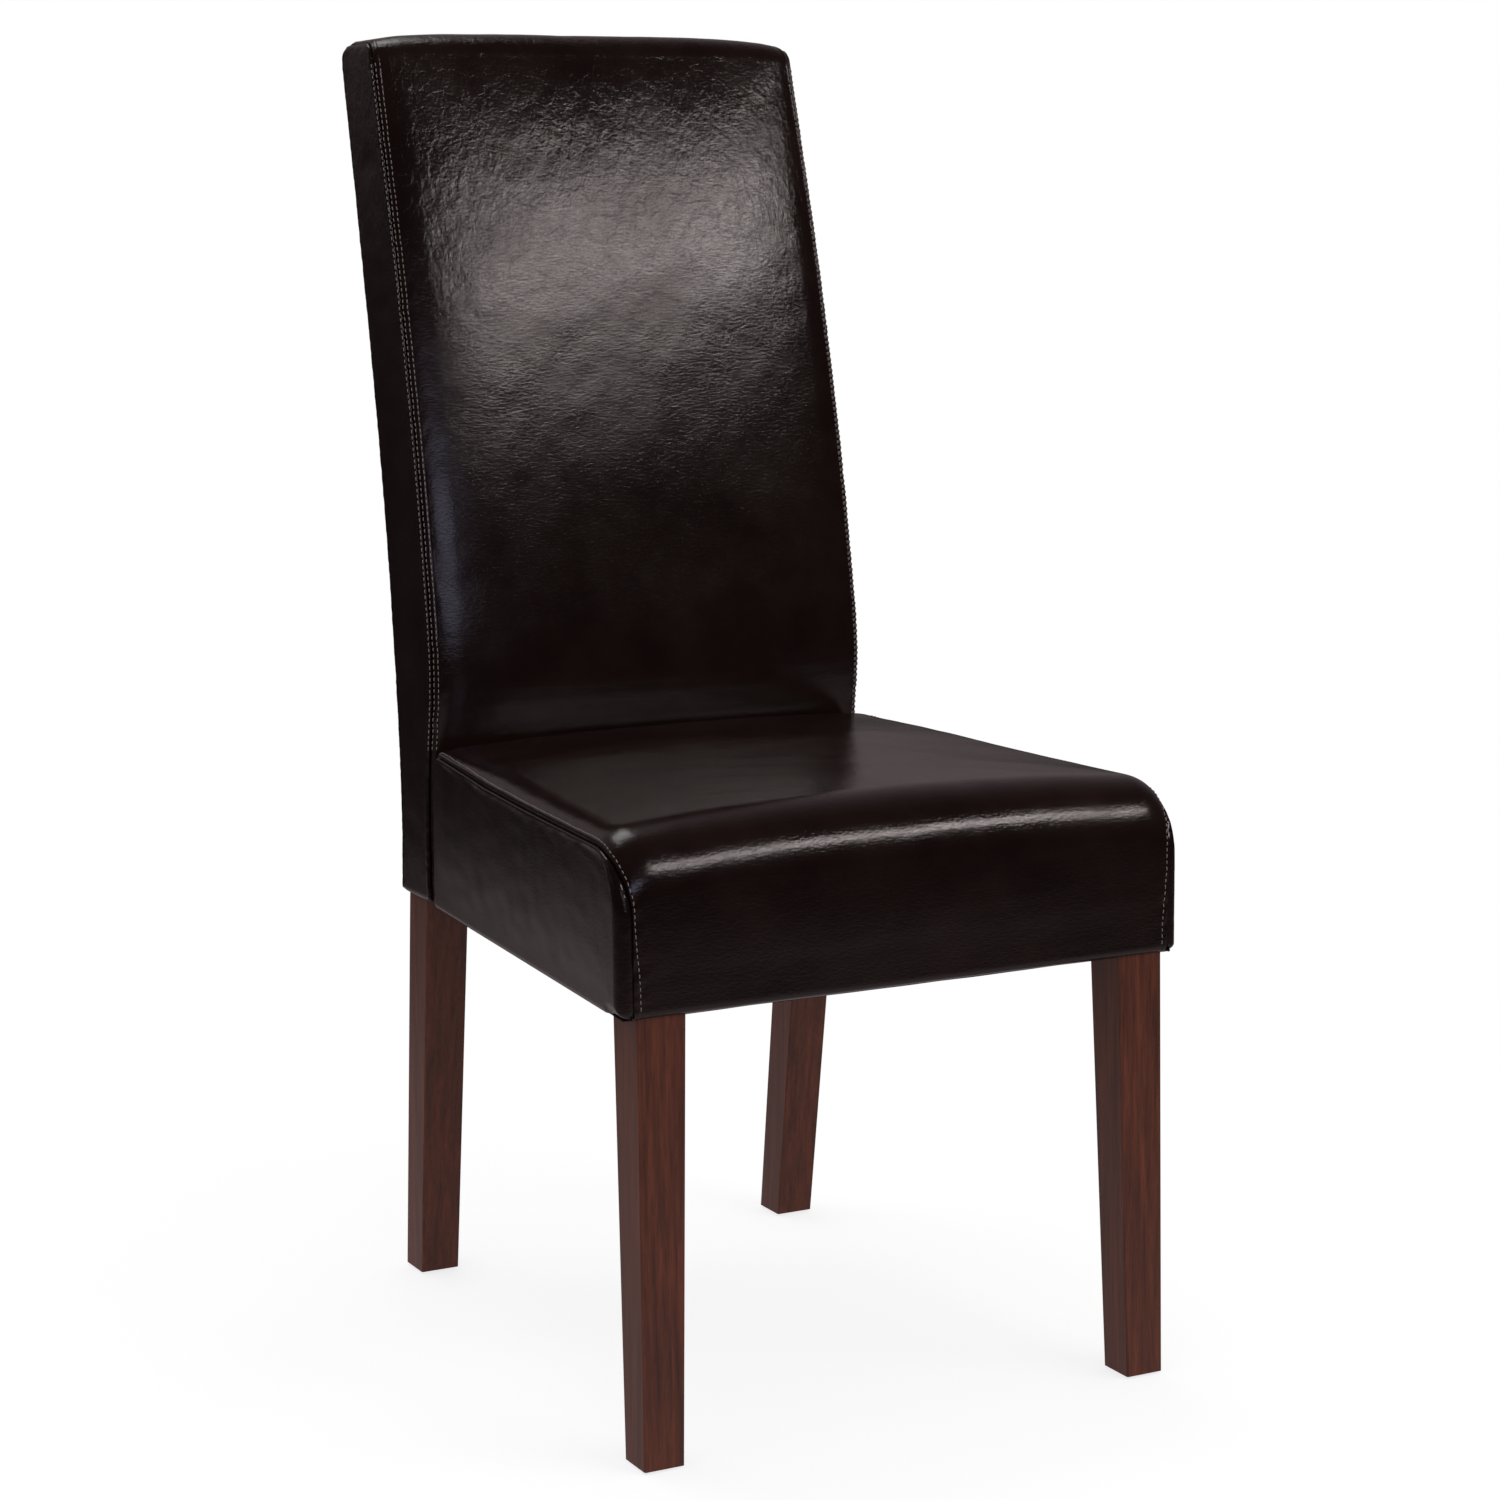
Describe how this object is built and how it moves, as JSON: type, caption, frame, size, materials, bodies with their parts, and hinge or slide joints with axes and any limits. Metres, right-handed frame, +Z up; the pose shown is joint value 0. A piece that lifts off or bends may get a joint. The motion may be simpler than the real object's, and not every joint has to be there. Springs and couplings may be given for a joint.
{
  "type": "parsons chair",
  "caption": "Upholstered parsons dining chair: leather-covered box seat and tall curved back on square tapered wooden legs.",
  "frame": {"origin": "on the floor, at the middle of the rectangle that the whole chair covers", "axes": "+Z up; the chair faces -Y, so +Y points to its back; +X is to the right of someone looking at its front"},
  "size_m": [0.46, 0.5996, 1.007],
  "materials": {
    "leather": "satin",
    "stained_wood": "satin",
    "frame_wood": "matte",
    "plywood": "matte",
    "beech": "matte",
    "foam": "matte",
    "wadding": "matte",
    "webbing": "matte",
    "lining_cloth": "matte",
    "nylon": "matte",
    "thread": "satin",
    "steel": "satin"
  },
  "bodies": {
    "root": {"back_bottom_cover": "lining_cloth", "back_foam": "foam", "back_front_cover": "leather", "back_left_cover": "leather", "back_left_padding": "wadding", "back_middle_rail": "frame_wood", "back_mounting_rail": "frame_wood", "back_rail_dowels": "beech", "back_rear_cover": "leather", "back_rear_padding": "wadding", "back_right_cover": "leather", "back_right_padding": "wadding", "back_tee_nuts": "steel", "back_top_rail": "frame_wood", "back_webbing": "webbing", "corner_block_screws": "steel", "front_left_corner_block": "frame_wood", "front_left_glide": "nylon", "front_left_leg": "stained_wood", "front_leg_hanger_bolts": "steel", "front_leg_nuts": "steel", "front_leg_washers": "steel", "front_right_corner_block": "frame_wood", "front_right_glide": "nylon", "front_right_leg": "stained_wood", "mounting_rail_screws": "steel", "rear_left_corner_block": "frame_wood", "rear_left_glide": "nylon", "rear_left_leg": "stained_wood", "rear_right_corner_block": "frame_wood", "rear_right_glide": "nylon", "rear_right_leg": "stained_wood", "seat_board": "plywood", "seat_board_screws": "steel", "seat_bolt_washers": "steel", "seat_bolts": "steel", "seat_dust_cover": "lining_cloth", "seat_foam": "foam", "seat_frame_screws": "steel", "seat_front_padding": "wadding", "seat_front_rail": "frame_wood", "seat_left_cover": "leather", "seat_left_padding": "wadding", "seat_left_rail": "frame_wood", "seat_rail_dowels": "beech", "seat_rear_rail": "frame_wood", "seat_right_cover": "leather", "seat_right_padding": "wadding", "seat_right_rail": "frame_wood", "seat_top_cover": "leather"}
  },
  "joints": []
}
